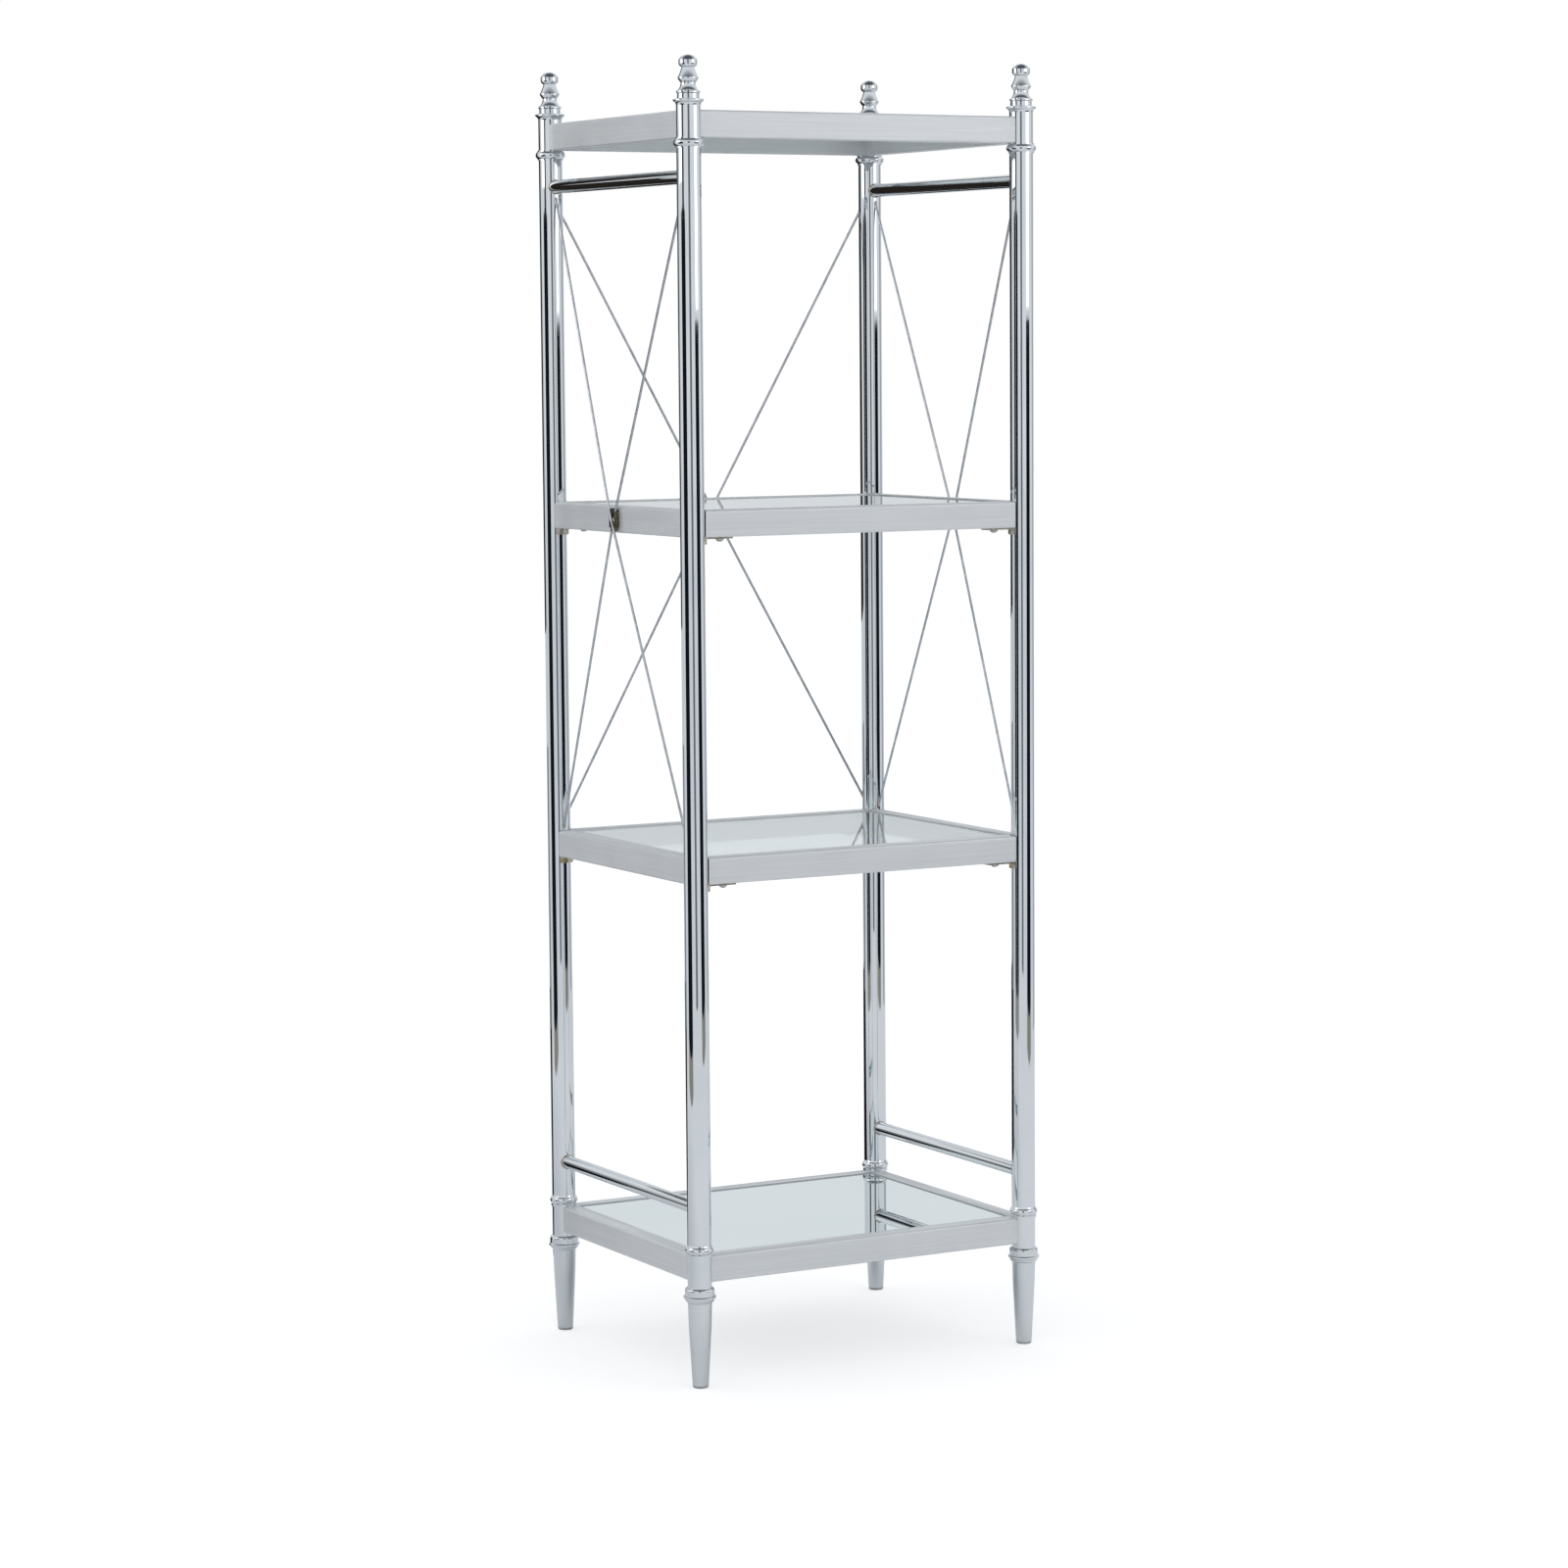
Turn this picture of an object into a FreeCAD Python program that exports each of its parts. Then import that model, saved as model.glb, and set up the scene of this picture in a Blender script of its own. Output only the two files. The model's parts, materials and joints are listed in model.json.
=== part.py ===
import FreeCAD, Part
import math
import os
from types import SimpleNamespace

import Sketcher

# Four-post glass shelving unit: chromed tube posts, four coped tube frames with drop-in glass
# panes, side rails, and crossed rod braces on both sides and the back.
# Origin on the floor under the middle of the unit, +Z up, the open front faces -Y.

SIZES = [
    ("unit_height", 1524, "floor to the top of the finials"),
    ("post_span_x", 441, "between post axes, across the front"),
    ("post_span_y", 353, "between post axes, front to back"),
    ("post_dia", 28, "post tube outside"),
    ("post_wall", 1.5, "post tube wall"),
    ("post_top", 1471.5, "upper end of the post tube"),
    ("post_foot", 106, "lower end of the post tube"),
    ("top_level", 1462.5, "top face of the top frame"),
    ("upper_level", 1012.8, "top face of the upper shelf frame"),
    ("lower_level", 615.8, "top face of the lower shelf frame"),
    ("base_level", 154.3, "top face of the base frame"),
    ("frame_tall", 31, "frame rail height"),
    ("frame_out", 7, "frame's outer face beyond the post axes"),
    ("frame_in", 13.5, "frame's inner face inside the post axes"),
    ("frame_wall", 1.5, "frame rail tube wall"),
    ("frame_round", 3, "rounding of the frame's upper outer edge"),
    ("cope_gap", 1.2, "gap between a bolted frame and the posts"),
    ("ledge_wide", 10, "ledge that carries a pane"),
    ("ledge_thick", 2, "ledge thickness"),
    ("pane_thick", 5, "glass thickness"),
    ("pane_gap", 1, "gap round a pane"),
    ("pane_drop", 1.2, "top of a pane below the frame's rim"),
    ("pane_corner", 3, "rounding of a pane's corners"),
    ("pane_arris", 0.5, "polished bevel on a pane's edges"),
    ("pad_thick", 1, "clear pad under a pane"),
    ("pad_side", 7, "side of a clear pad"),
    ("pad_inset", 60, "pad distance from the post axis along the side"),
    ("rail_dia", 16, "side rail tube outside"),
    ("rail_wall", 1.2, "side rail tube wall"),
    ("top_rail_level", 1388, "axis of the top side rails"),
    ("low_rail_level", 209.5, "axis of the low side rails"),
    ("rod_dia", 3, "brace rod"),
    ("side_rise", 380, "end of a side brace's axis above or below the crossing"),
    ("back_rise", 368, "end of a back brace's axis above or below the crossing"),
    ("back_swing", 25, "angle that the back rods' ends lie outward on the posts"),
    ("rod_sink", 2.5, "end of a rod's axis under the post's surface, before coping"),
    ("rod_bend", 60, "bend of a brace rod where it passes the frame"),
    ("rod_clear", 2, "gap between the inner rod and the frame"),
    ("rod_step", 3.3, "between the axes of two rods where they cross"),
    ("clip_tall", 27, "brace clip height"),
    ("clip_wide", 14, "brace clip width"),
    ("clip_deep", 6, "brace clip's outer face from the frame"),
    ("clip_base", 1.6, "brace clip's thickness behind the inner rod"),
    ("clip_clear", 0.5, "gap between the rods and the clip"),
    ("clip_screw_at", 4.6, "clip screw beside the crossing"),
    ("clip_screw_dia", 2.5, "clip screw shank"),
    ("clip_screw_grip", 4, "clip screw inside the frame's outer face"),
    ("clip_head_r", 2, "clip screw head radius"),
    ("clip_head_tall", 1.4, "clip screw head height"),
    ("tab_long", 50, "bracket tab end from the post axis"),
    ("tab_root", 4, "bracket tab's other end from the post axis"),
    ("tab_out", 4, "bracket tab beyond the post axis, outward"),
    ("tab_in", 11, "bracket tab inside the post axis"),
    ("tab_thick", 2, "bracket tab thickness"),
    ("saddle_thick", 2.5, "bracket saddle wall"),
    ("saddle_tall", 8, "bracket saddle height"),
    ("saddle_wrap", 20, "angle that a saddle wraps past a quarter of the post"),
    ("shelf_screw_at", 37, "shelf screw from the post axis, across the front"),
    ("shelf_screw_in", 3.5, "shelf screw inside the post axis"),
    ("shelf_screw_dia", 5, "shelf screw shank"),
    ("shelf_screw_grip", 6.5, "shelf screw inside the frame"),
    ("shelf_head_r", 5, "shelf screw head radius"),
    ("shelf_head_tall", 3.6, "shelf screw head height"),
    ("stud_dia", 8, "finial stud"),
    ("stud_long", 14, "finial stud length"),
    ("plug_gap", 0.1, "gap round the plugs in the posts"),
    ("plug_long", 18, "cap and foot plug length"),
    ("cap_tall", 3.5, "post cap flange height"),
    ("cap_cove", 5, "cove under the post cap flange"),
    ("cap_lip", 0.8, "cap flange's undercut at its rim"),
    ("rim_proud", 3.75, "cap and top collar rims beyond the post"),
    ("collar_tall", 11.5, "top collar height"),
    ("collar_fillet", 1.5, "fillet ring at each end of a top collar"),
    ("collar_ring", 1.3, "top collar's fillet rings beyond the post"),
    ("base_ring_tall", 2.7, "ring under a base collar's bead"),
    ("base_ring_proud", 1.4, "that ring beyond the post"),
    ("bead_low", 3.2, "base bead's lower edge above the frame"),
    ("bead_high", 11.4, "base bead's upper edge above the frame"),
    ("bead_root", 0.8, "base bead's edges beyond the post"),
    ("bead_bulge", 1.8, "base bead beyond its edges, and the slope above it"),
    ("cup_deep", 6, "cupped underside of a foot collar below the post end"),
    ("flange_proud", 4.75, "foot collar flange beyond the post"),
    ("flange_low", 0.6, "foot collar flange's rim below the post end"),
    ("flange_high", 1.4, "foot collar flange's rim above the post end"),
    ("flange_slope", 0.8, "slope between the flange's rim and the band"),
    ("band_proud", 3.2, "foot collar band beyond the post"),
    ("band_high", 8.4, "foot collar band above the post end"),
    ("band_lip", 0.4, "top of the foot collar beyond the post"),
    ("waist_deep", 30.7, "foot's waist below the post end"),
    ("waist_r", 13.25, "foot radius at the waist"),
    ("toe_r", 9.4, "foot radius at the toe"),
    ("glide_r", 9.1, "glide radius"),
    ("glide_easing", 1, "bevel round a glide"),
    ("glide_stem_long", 11, "glide stem length"),
    ("glide_socket", 12, "glide socket depth"),
    ("glide_proud", 3, "glide below the foot"),
    ("glide_stem", 6, "glide stem diameter"),
]

CORNERS = {
    "front_left": (-1, -1),
    "front_right": (1, -1),
    "back_left": (-1, 1),
    "back_right": (1, 1),
}

# Each side: turn about Z from the front, direction along the side, and inward direction.
SIDES = {
    "front": (0, (1, 0), (0, 1)),
    "back": (180, (-1, 0), (0, -1)),
    "left": (-90, (0, -1), (1, 0)),
    "right": (90, (0, 1), (-1, 0)),
}

LEVELS = ("top", "upper", "lower", "base")
UP = FreeCAD.Vector(0, 0, 1)


class Dim:
    """A size that carries its value and the sheet expression that drives it."""

    def __init__(self, value, text):
        self.value = value
        self.text = text

    def combine(self, other, sign, swap=False):
        first, second = (as_dim(other), self) if swap else (self, as_dim(other))
        results = {
            "+": lambda: first.value + second.value,
            "-": lambda: first.value - second.value,
            "*": lambda: first.value * second.value,
            "/": lambda: first.value / second.value,
        }
        return Dim(results[sign](), f"({first.text} {sign} {second.text})")

    def __add__(self, other):
        return self.combine(other, "+")

    def __radd__(self, other):
        return self.combine(other, "+", True)

    def __sub__(self, other):
        return self.combine(other, "-")

    def __rsub__(self, other):
        return self.combine(other, "-", True)

    def __mul__(self, other):
        return self.combine(other, "*")

    def __rmul__(self, other):
        return self.combine(other, "*", True)

    def __truediv__(self, other):
        return self.combine(other, "/")

    def __neg__(self):
        return self.combine(-1, "*")


def as_dim(size):
    return size if isinstance(size, Dim) else Dim(float(size), f"({float(size)})")


def cosine(angle):
    return Dim(math.cos(math.radians(angle.value)), f"cos({angle.text})")


def sine(angle):
    return Dim(math.sin(math.radians(angle.value)), f"sin({angle.text})")


def hypotenuse(first, second):
    return Dim(math.hypot(first.value, second.value),
               f"sqrt({first.text} * {first.text} + {second.text} * {second.text})")


def dome_radius(rim, rise):
    """Radius of a dome centred on the axis, from its rim radius and its height."""
    rim, rise = as_dim(rim), as_dim(rise)
    return (rim * rim + rise * rise) / (rise * 2)


doc = FreeCAD.newDocument("glass_shelving_unit")
sheet = doc.addObject("Spreadsheet::Sheet", "Sizes")
for row, (alias, size, note) in enumerate(SIZES, start=1):
    sheet.set(f"A{row}", note)
    sheet.set(f"B{row}", str(size))
    sheet.setAlias(f"B{row}", alias)
doc.recompute()
S = SimpleNamespace(**{alias: Dim(float(size), f"Sizes.{alias}") for alias, size, note in SIZES})

# Sizes that several pieces share
post_r = S.post_dia / 2
half_x = S.post_span_x / 2
half_y = S.post_span_y / 2
level_of = {name: getattr(S, f"{name}_level") for name in LEVELS}
half_along = {"front": half_x, "back": half_x, "left": half_y, "right": half_y}
cross_level = S.upper_level - S.frame_tall / 2
rebate = S.pane_drop + S.pane_thick + S.pad_thick
inner_bow = S.frame_out + S.rod_clear + S.rod_dia / 2
outer_bow = inner_bow + S.rod_step
clip_outside = S.frame_out + S.clip_deep


def drive(item, path, size):
    """Binds a property to the sheet."""
    item.setExpression(path, as_dim(size).text)


def place(item, x, y, z, rotation=None):
    """Puts a piece at a driven place, turned if a rotation is given."""
    item.Placement = FreeCAD.Placement(FreeCAD.Vector(), rotation or FreeCAD.Rotation())
    for axis, size in zip("xyz", (x, y, z)):
        drive(item, f"Placement.Base.{axis}", size)


def on_side(side, along, inward):
    """Row-frame X and Y of a point given along a side from its middle, and inward of its post axes."""
    _, (ax, ay), (ix, iy) = SIDES[side]
    depth = half_y if side in ("front", "back") else half_x
    offset = as_dim(inward) - depth
    return along * ax + offset * ix, along * ay + offset * iy


def place_on_side(item, side, along, inward, z, tilt=0):
    """Places a piece drawn for the front on any side; tilt leans its top along the side."""
    x, y = on_side(side, as_dim(along), inward)
    turned = FreeCAD.Rotation(UP, SIDES[side][0])
    leaned = FreeCAD.Rotation(FreeCAD.Vector(0, 1, 0), tilt)
    place(item, x, y, z, turned * leaned)


def place_at_post(item, corner, z):
    sx, sy = CORNERS[corner]
    place(item, half_x * sx, half_y * sy, z)


def new_body(label):
    return doc.addObject("PartDesign::Body", label)


def origin_item(body, role):
    return next(item for item in body.Origin.OriginFeatures if item.Role == role)


def new_sketch(body, role, name):
    """A sketch on one of the body's own origin planes."""
    sketch = body.newObject("Sketcher::SketchObject", f"{body.Name}_{name}")
    sketch.AttachmentSupport = [(origin_item(body, role), "")]
    sketch.MapMode = "FlatFace"
    return sketch


def fix_point(sketch, edge, vertex, x, y):
    """Holds a point at driven coordinates from the sketch origin."""
    for kind, size, axis in (("DistanceX", as_dim(x), -2), ("DistanceY", as_dim(y), -1)):
        if abs(size.value) < 1e-9:
            sketch.addConstraint(Sketcher.Constraint("PointOnObject", edge, vertex, axis))
        else:
            index = sketch.addConstraint(Sketcher.Constraint(kind, -1, 1, edge, vertex, size.value))
            drive(sketch, f"Constraints[{index}]", size)


def fix_radius(sketch, edge, size):
    index = sketch.addConstraint(Sketcher.Constraint("Radius", edge, size.value))
    drive(sketch, f"Constraints[{index}]", size)


def arc_between(start, end, radius):
    """Arc of less than a half turn, counter-clockwise from start to end when radius is positive."""
    if radius < 0:
        return arc_between(end, start, -radius)
    chord = end - start
    rise = math.sqrt(radius ** 2 - chord.Length ** 2 / 4)
    left = FreeCAD.Vector(-chord.y, chord.x, 0).normalize()
    centre = start + chord / 2 + left * rise
    begin, finish = (math.atan2(p.y - centre.y, p.x - centre.x) for p in (start, end))
    return Part.ArcOfCircle(Part.Circle(centre, UP, radius), begin, finish)


def outline(sketch, points):
    """Closed outline through (x, y) points.

    A third value makes the edge that arrives at a point an arc of that radius,
    counter-clockwise when positive.
    """
    spots = [FreeCAD.Vector(as_dim(p[0]).value, as_dim(p[1]).value, 0) for p in points]
    ends = []
    for k, point in enumerate(points):
        radius = as_dim(point[2]) if len(point) == 3 else None
        if radius is None:
            edge = sketch.addGeometry(Part.LineSegment(spots[k - 1], spots[k]))
        else:
            edge = sketch.addGeometry(arc_between(spots[k - 1], spots[k], radius.value))
        clockwise = radius is not None and radius.value < 0
        ends.append((edge, 2, 1) if clockwise else (edge, 1, 2))
    for k, (edge, begin, finish) in enumerate(ends):
        follower, follower_begin, _ = ends[(k + 1) % len(ends)]
        sketch.addConstraint(Sketcher.Constraint("Coincident", edge, finish, follower, follower_begin))
        fix_point(sketch, edge, finish, points[k][0], points[k][1])
        if len(points[k]) == 3:
            radius = as_dim(points[k][2])
            fix_radius(sketch, edge, radius if radius.value > 0 else -radius)


def circle(sketch, x, y, radius):
    x, y, radius = as_dim(x), as_dim(y), as_dim(radius)
    centre = FreeCAD.Vector(x.value, y.value, 0)
    edge = sketch.addGeometry(Part.Circle(centre, UP, radius.value))
    fix_point(sketch, edge, 3, x, y)
    fix_radius(sketch, edge, radius)


def pad(body, sketch, size, both_ways=False, downward=False):
    feature = body.newObject("PartDesign::Pad", f"{body.Name}_pad")
    feature.Profile = sketch
    feature.SideType = "Symmetric" if both_ways else "One side"
    feature.Reversed = downward
    drive(feature, "Length", size)
    return feature


def pocket(body, sketch, size=None, reverse=False):
    """Cuts through everything both ways, or one way to a driven depth."""
    feature = body.newObject("PartDesign::Pocket", f"{body.Name}_pocket")
    feature.Profile = sketch
    if size is None:
        feature.Type = "ThroughAll"
        feature.SideType = "Symmetric"
    else:
        feature.Reversed = reverse
        drive(feature, "Length", size)
    return feature


def revolve(body, sketch):
    feature = body.newObject("PartDesign::Revolution", f"{body.Name}_turned")
    feature.Profile = sketch
    feature.ReferenceAxis = (sketch, ["V_Axis"])
    feature.Angle = 360
    return feature


def repeat(body, feature, span_x, span_y=None):
    """Two copies along X, or two by two along X and Y."""
    pattern = body.newObject("PartDesign::LinearPattern", f"{body.Name}_pattern")
    pattern.Originals = [feature]
    pattern.Direction = (origin_item(body, "X_Axis"), [""])
    pattern.Occurrences = 2
    drive(pattern, "Length", span_x)
    if span_y is not None:
        pattern.Direction2 = (origin_item(body, "Y_Axis"), [""])
        pattern.Occurrences2 = 2
        drive(pattern, "Length2", span_y)
    body.Tip = pattern


def turn_profile(body, profile):
    """Turns a profile of radius and height about the body's own Z axis."""
    sketch = new_sketch(body, "XZ_Plane", "profile")
    outline(sketch, profile)
    return revolve(body, sketch)


def on_every_post(label, profile, z):
    """One turned piece on each of the four posts, in one node."""
    body = new_body(label)
    repeat(body, turn_profile(body, profile), S.post_span_x, S.post_span_y)
    place_at_post(body, "front_left", z)
    return body


def gather(label, members):
    group = doc.addObject("Part::Compound", label)
    group.Links = members
    return group


def make_post(corner):
    """Chromed tube from the foot to the cap."""
    body = new_body(f"post_{corner}")
    sketch = new_sketch(body, "XY_Plane", "section")
    circle(sketch, 0, 0, post_r)
    circle(sketch, 0, 0, post_r - S.post_wall)
    pad(body, sketch, S.post_top - S.post_foot)
    place_at_post(body, corner, S.post_foot)
    return body


def make_caps():
    """Pointed flange over a cove, with a plug in the tube that takes the finial's stud."""
    plug_r = post_r - S.post_wall - S.plug_gap
    rim_r = post_r + S.rim_proud
    bore_r = S.stud_dia / 2
    edge_low = S.cap_tall * 0.4
    edge_high = S.cap_tall * 0.6
    profile = [
        (bore_r, -S.plug_long),
        (plug_r, -S.plug_long),
        (plug_r, 0),
        (post_r, 0),
        (post_r, -S.cap_cove),
        (rim_r - S.cap_lip, 0, -S.cap_cove),
        (rim_r, edge_low),
        (rim_r, edge_high),
        (post_r, S.cap_tall),
        (bore_r, S.cap_tall),
    ]
    return on_every_post("post_caps", profile, S.post_top)


def make_finial(corner):
    """Turned finial: banded base with a sharp lip, bell, and a domed button, with a stud below."""
    tall = S.unit_height - S.post_top - S.cap_tall
    band_r = post_r * 0.9
    lip_r = post_r * 0.98
    neck_r = post_r * 0.61
    bell_r = post_r * 0.84
    throat_r = post_r * 0.52
    button_r = post_r * 0.755
    dome_tall = tall * 0.127
    body = new_body(f"finial_{corner}")
    turn_profile(body, [
        (0, -S.stud_long),
        (S.stud_dia / 2, -S.stud_long),
        (S.stud_dia / 2, 0),
        (band_r, 0),
        (band_r, tall * 0.108),
        (lip_r, tall * 0.127),
        (lip_r, tall * 0.157),
        (neck_r, tall * 0.324, post_r * -0.8),
        (neck_r, tall * 0.36),
        (bell_r, tall * 0.455, post_r),
        (bell_r, tall * 0.475),
        (throat_r, tall * 0.706, post_r * -3),
        (button_r, tall * 0.79, post_r * 0.34),
        (button_r, tall - dome_tall),
        (0, tall, dome_radius(button_r, dome_tall)),
    ])
    place_at_post(body, corner, S.post_top + S.cap_tall)
    return body


def make_top_collars():
    """Round collars between small fillets; the top frame's corners sit on them."""
    ring_r = post_r + S.collar_ring
    swell = dome_radius(S.collar_tall / 2 - S.collar_fillet, S.rim_proud - S.collar_ring)
    profile = [
        (post_r, 0),
        (ring_r, 0),
        (ring_r, S.collar_fillet),
        (ring_r, S.collar_tall - S.collar_fillet, swell),
        (ring_r, S.collar_tall),
        (post_r, S.collar_tall),
    ]
    return on_every_post("top_collars", profile, S.top_level - S.frame_tall - S.collar_tall)


def make_base_collars():
    """Bead collars over a narrower ring, standing on the base frame's corners."""
    ring_r = post_r + S.base_ring_proud
    bead_r = post_r + S.bead_root
    profile = [
        (post_r, 0),
        (ring_r, 0),
        (ring_r, S.base_ring_tall),
        (bead_r, S.bead_low),
        (bead_r, S.bead_high, dome_radius((S.bead_high - S.bead_low) / 2, S.bead_bulge)),
        (post_r, S.bead_high + S.bead_bulge),
    ]
    return on_every_post("base_collars", profile, S.base_level)


def make_foot_collars():
    """Round-shouldered band over a wide thin flange, with a cupped underside round the foot."""
    flange_r = post_r + S.flange_proud
    band_r = post_r + S.band_proud
    shoulder = S.band_high + S.band_proud
    profile = [
        (post_r, -S.cup_deep),
        (band_r, -S.flange_low - S.flange_slope, S.cup_deep),
        (flange_r, -S.flange_low),
        (flange_r, S.flange_high),
        (band_r, S.flange_high + S.flange_slope),
        (band_r, S.band_high),
        (post_r + S.band_lip, shoulder, S.band_proud),
        (post_r, shoulder),
    ]
    return on_every_post("foot_collars", profile, S.post_foot)


def make_foot(corner):
    """Tapered turned foot with a plug up into the post and a socket below for its glide."""
    plug_r = post_r - S.post_wall - S.plug_gap
    socket_r = S.glide_stem / 2
    sole = S.glide_proud - S.post_foot
    body = new_body(f"foot_{corner}")
    turn_profile(body, [
        (0, sole + S.glide_socket),
        (socket_r, sole + S.glide_socket),
        (socket_r, sole),
        (S.toe_r, sole),
        (S.waist_r, -S.waist_deep),
        (post_r, -S.cup_deep),
        (post_r, 0),
        (plug_r, 0),
        (plug_r, S.plug_long),
        (0, S.plug_long),
    ])
    place_at_post(body, corner, S.post_foot)
    return body


def make_glides():
    """Nylon glides with stems pressed up into the feet."""
    stem_r = S.glide_stem / 2
    stem_top = S.glide_proud + S.glide_stem_long
    profile = [
        (0, 0),
        (S.glide_r - S.glide_easing, 0),
        (S.glide_r, S.glide_easing),
        (S.glide_r, S.glide_proud),
        (stem_r, S.glide_proud),
        (stem_r, stem_top),
        (0, stem_top),
    ]
    return on_every_post("foot_glides", profile, 0)


def make_side_rail(side, name, level):
    """Round tube between two posts, its ends coped to fit them."""
    body = new_body(f"{side}_{name}_rail")
    section = new_sketch(body, "YZ_Plane", "section")
    circle(section, 0, 0, S.rail_dia / 2)
    circle(section, 0, 0, S.rail_dia / 2 - S.rail_wall)
    pad(body, section, S.post_span_y, both_ways=True)
    cope_posts(body, half_y, post_r)
    place_on_side(body, side, 0, 0, level)
    return body


def cope_posts(body, half, radius):
    """Round cut at the post at each end of a rail."""
    sketch = new_sketch(body, "XY_Plane", "cope")
    circle(sketch, -half, 0, radius)
    circle(sketch, half, 0, radius)
    pocket(body, sketch)


def apron_section(sketch):
    """Rail section: square tube with an eased outer face and a ledge for the pane."""
    out = -S.frame_out
    ledge_top = S.frame_tall - rebate
    ledge_low = ledge_top - S.ledge_thick
    easing = S.frame_round
    outline(sketch, [
        (S.frame_in, 0),
        (S.frame_in, ledge_low),
        (S.frame_in + S.ledge_wide, ledge_low),
        (S.frame_in + S.ledge_wide, ledge_top),
        (S.frame_in, ledge_top),
        (S.frame_in, S.frame_tall),
        (out + easing, S.frame_tall),
        (out, S.frame_tall - easing, easing),
        (out, easing / 2),
        (out + easing / 2, 0, easing / 2),
    ])
    outline(sketch, [
        (S.frame_in - S.frame_wall, S.frame_wall),
        (S.frame_in - S.frame_wall, S.frame_tall - S.frame_wall),
        (out + S.frame_wall, S.frame_tall - S.frame_wall),
        (out + S.frame_wall, S.frame_wall),
    ])


def mitre_ends(body, half):
    """Cuts both ends of a frame rail at 45 degrees through the post axes."""
    sketch = new_sketch(body, "XY_Plane", "mitre")
    outer = S.frame_out + 2
    inner = S.frame_in + S.ledge_wide + 2
    for end in (-1, 1):
        outline(sketch, [
            ((half + outer) * end, -outer),
            ((half - inner) * end, inner),
            ((half + outer) * end, inner),
        ])
    pocket(body, sketch)


def make_apron(level, side):
    """One rail of a frame, mitred to its neighbours and coped round the posts."""
    half = half_along[side]
    shelf = level in ("upper", "lower")
    body = new_body(f"{level}_{'shelf_' if shelf else ''}{side}_apron")
    section = new_sketch(body, "YZ_Plane", "section")
    apron_section(section)
    pad(body, section, (half + S.frame_out) * 2, both_ways=True)
    mitre_ends(body, half)
    cope_posts(body, half, post_r + S.cope_gap if shelf else post_r)
    if shelf and side in ("front", "back"):
        holes = new_sketch(body, "XY_Plane", "screw_holes")
        for end in (-1, 1):
            circle(holes, (half - S.shelf_screw_at) * end, S.shelf_screw_in, S.shelf_screw_dia / 2)
        pocket(body, holes, S.frame_wall + 1, reverse=True)
    if level == "upper" and side != "front":
        holes = new_sketch(body, "XZ_Plane", "clip_holes")
        for end in (-1, 1):
            circle(holes, S.clip_screw_at * end, S.frame_tall / 2, S.clip_screw_dia / 2)
        pocket(body, holes, S.frame_out + 1, reverse=True)
    place_on_side(body, side, 0, 0, level_of[level] - S.frame_tall)
    return body


def make_pane(label, level):
    """Glass with rounded corners and bevelled edges, lying just below its frame's rim."""
    body = new_body(label)
    wide = half_x - S.frame_in - S.pane_gap
    deep = half_y - S.frame_in - S.pane_gap
    corner = S.pane_corner
    sketch = new_sketch(body, "XY_Plane", "outline")
    outline(sketch, [
        (wide, corner - deep, corner),
        (wide, deep - corner),
        (wide - corner, deep, corner),
        (corner - wide, deep),
        (-wide, deep - corner, corner),
        (-wide, corner - deep),
        (corner - wide, -deep, corner),
        (wide - corner, -deep),
    ])
    glass = pad(body, sketch, S.pane_thick)
    doc.recompute()
    faces = [f"Face{k}" for k, face in enumerate(glass.Shape.Faces, start=1)
             if abs(face.normalAt(0, 0).z) > 0.9]
    bevel = body.newObject("PartDesign::Chamfer", f"{label}_bevel")
    bevel.Base = (glass, faces)
    drive(bevel, "Size", S.pane_arris)
    place(body, 0, 0, level_of[level] - S.pane_drop - S.pane_thick)
    return body


def make_pads():
    """Clear square pads on the side ledges, four under each pane."""
    members = []
    inset = S.frame_in + S.ledge_wide / 2
    for level in LEVELS:
        body = new_body(f"{level}_pads")
        sketch = new_sketch(body, "XY_Plane", "section")
        edge = S.pad_side / 2
        outline(sketch, [(-edge, -edge), (edge, -edge), (edge, edge), (-edge, edge)])
        button = pad(body, sketch, S.pad_thick)
        repeat(body, button, S.post_span_x - inset * 2, S.post_span_y - S.pad_inset * 2)
        place(body, inset - half_x, S.pad_inset - half_y, level_of[level] - rebate)
        members.append(body)
    return gather("pane_pads", members)


def rod_ends(side):
    """Where the axes of a side's rods end: along from the middle, outward of the post axes, and up."""
    back = side == "back"
    swing = S.back_swing if back else as_dim(0)
    reach = post_r - S.rod_sink
    rise = S.back_rise if back else S.side_rise
    return half_along[side] - reach * cosine(swing), reach * sine(swing), rise


def bowed_path(sketch, outward, bow, half_long):
    """Upper half of a rod's axis: half of the bend, then a straight length to the rod's end."""
    bend = S.rod_bend
    centre = FreeCAD.Vector((bend - bow).value, 0, 0)
    end = FreeCAD.Vector(-outward.value, half_long.value, 0)
    reach = end - centre
    angle = math.atan2(reach.y, reach.x) + math.acos(bend.value / reach.Length)
    arc = Part.ArcOfCircle(Part.Circle(centre, UP, bend.value), angle, math.pi)
    sketch.addGeometry(arc)
    sketch.addGeometry(Part.LineSegment(arc.StartPoint, end))
    sketch.addConstraint(Sketcher.Constraint("Tangent", 0, 1, 1, 1))
    fix_point(sketch, 0, 3, bend - bow, 0)
    fix_point(sketch, 0, 2, -bow, 0)
    fix_point(sketch, 1, 2, -outward, half_long)


def make_core(corner):
    """Solid as thick as a post, to cope the rods' ends with."""
    core = doc.addObject("Part::Cylinder", f"core_{corner}")
    drive(core, "Radius", post_r)
    drive(core, "Height", S.post_top)
    place_at_post(core, corner, 0)
    return core


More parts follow.
